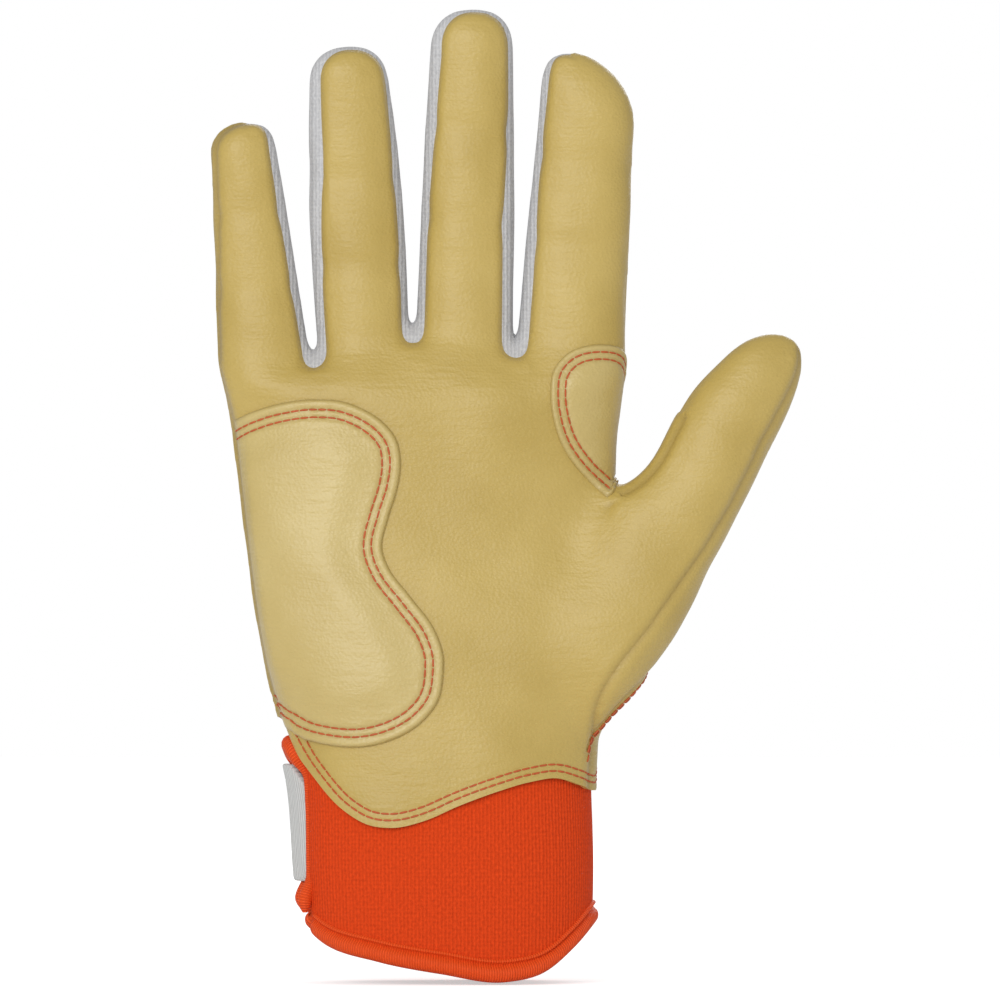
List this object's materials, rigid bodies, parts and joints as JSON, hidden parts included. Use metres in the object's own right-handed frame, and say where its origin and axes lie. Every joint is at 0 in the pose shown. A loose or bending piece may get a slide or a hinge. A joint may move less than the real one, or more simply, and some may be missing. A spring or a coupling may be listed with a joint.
{
  "type": "batting glove",
  "caption": "Short-cuff leather batting glove for the right hand: leather palm with heel patch, knitted finger sides, bending finger stalls and a peel-open wrist strap",
  "frame": {"origin": "middle of the hand opening, level with the lowest point of the cuff's rim", "axes": "+Z to the fingertips, +X to the thumb, -Y out of the palm"},
  "size_m": [0.1462, 0.0482, 0.2404],
  "materials": {
    "gold_leather": "thin gold-tan glove leather, soft sheen, fine grain",
    "patch_leather": "smooth gold-tan leather, a little paler and firmer",
    "grey_knit": "light grey stretch knit",
    "orange_knit": "orange knit-faced neoprene, fine upright ribs",
    "orange_tape": "orange satin binding tape, rolled",
    "strap_webbing": "pale grey woven strap",
    "hook_tape": "pale grey hook tape",
    "loop_pile": "orange loop pile",
    "foam": "closed-cell foam, covered"
  },
  "bodies": {
    "hand": {"palm_leather": "gold_leather", "back_leather": "gold_leather", "thumb_base_panel": "gold_leather", "web_little_ring": "grey_knit", "web_ring_middle": "grey_knit", "web_middle_index": "grey_knit", "heel_patch": "patch_leather", "heel_pad": "foam", "thumb_crotch_patch": "patch_leather", "cuff": "orange_knit", "cuff_binding": "orange_tape", "slit_binding": "orange_tape", "loop_tape": "loop_pile"},
    "little_finger": {"little_front": "gold_leather", "little_back": "gold_leather", "little_fourchette": "grey_knit"},
    "ring_finger": {"ring_front": "gold_leather", "ring_back": "gold_leather", "ring_fourchette": "grey_knit"},
    "middle_finger": {"middle_front": "gold_leather", "middle_back": "gold_leather", "middle_fourchette": "grey_knit"},
    "index_finger": {"index_front": "gold_leather", "index_back": "gold_leather", "index_fourchette": "grey_knit"},
    "thumb": {"thumb_front": "gold_leather", "thumb_back": "gold_leather"},
    "strap": {"wrist_strap": "strap_webbing", "hook_tape": "hook_tape"}
  },
  "joints": [
    {"name": "little_flex", "type": "hinge", "parent": "hand", "child": "little_finger", "pos_m": [-0.04746, -0.00013, 0.16702], "axis": [0.9954, 0, 0.0958], "range_deg": [-15, 70], "stiffness_Nm_per_rad": 0.02},
    {"name": "ring_flex", "type": "hinge", "parent": "hand", "child": "ring_finger", "pos_m": [-0.02229, -0.00024, 0.17392], "axis": [0.9986, 0, 0.0523], "range_deg": [-15, 70], "stiffness_Nm_per_rad": 0.02},
    {"name": "middle_flex", "type": "hinge", "parent": "hand", "child": "middle_finger", "pos_m": [0.00394, -0.0002, 0.17431], "axis": [0.9996, 0, -0.0279], "range_deg": [-15, 70], "stiffness_Nm_per_rad": 0.02},
    {"name": "index_flex", "type": "hinge", "parent": "hand", "child": "index_finger", "pos_m": [0.03085, -0.00018, 0.17078], "axis": [0.9978, 0, -0.0663], "range_deg": [-15, 70], "stiffness_Nm_per_rad": 0.02},
    {"name": "thumb_flex", "type": "hinge", "parent": "hand", "child": "thumb", "pos_m": [0.06199, -0.00541, 0.12431], "axis": [0.8949, 0, -0.4462], "range_deg": [-10, 45], "stiffness_Nm_per_rad": 0.02},
    {"name": "strap_peel", "type": "hinge", "parent": "hand", "child": "strap", "pos_m": [-0.0339, -0.0079, 0.039], "axis": [0, 0, 1], "range_deg": [0, 130]}
  ]
}
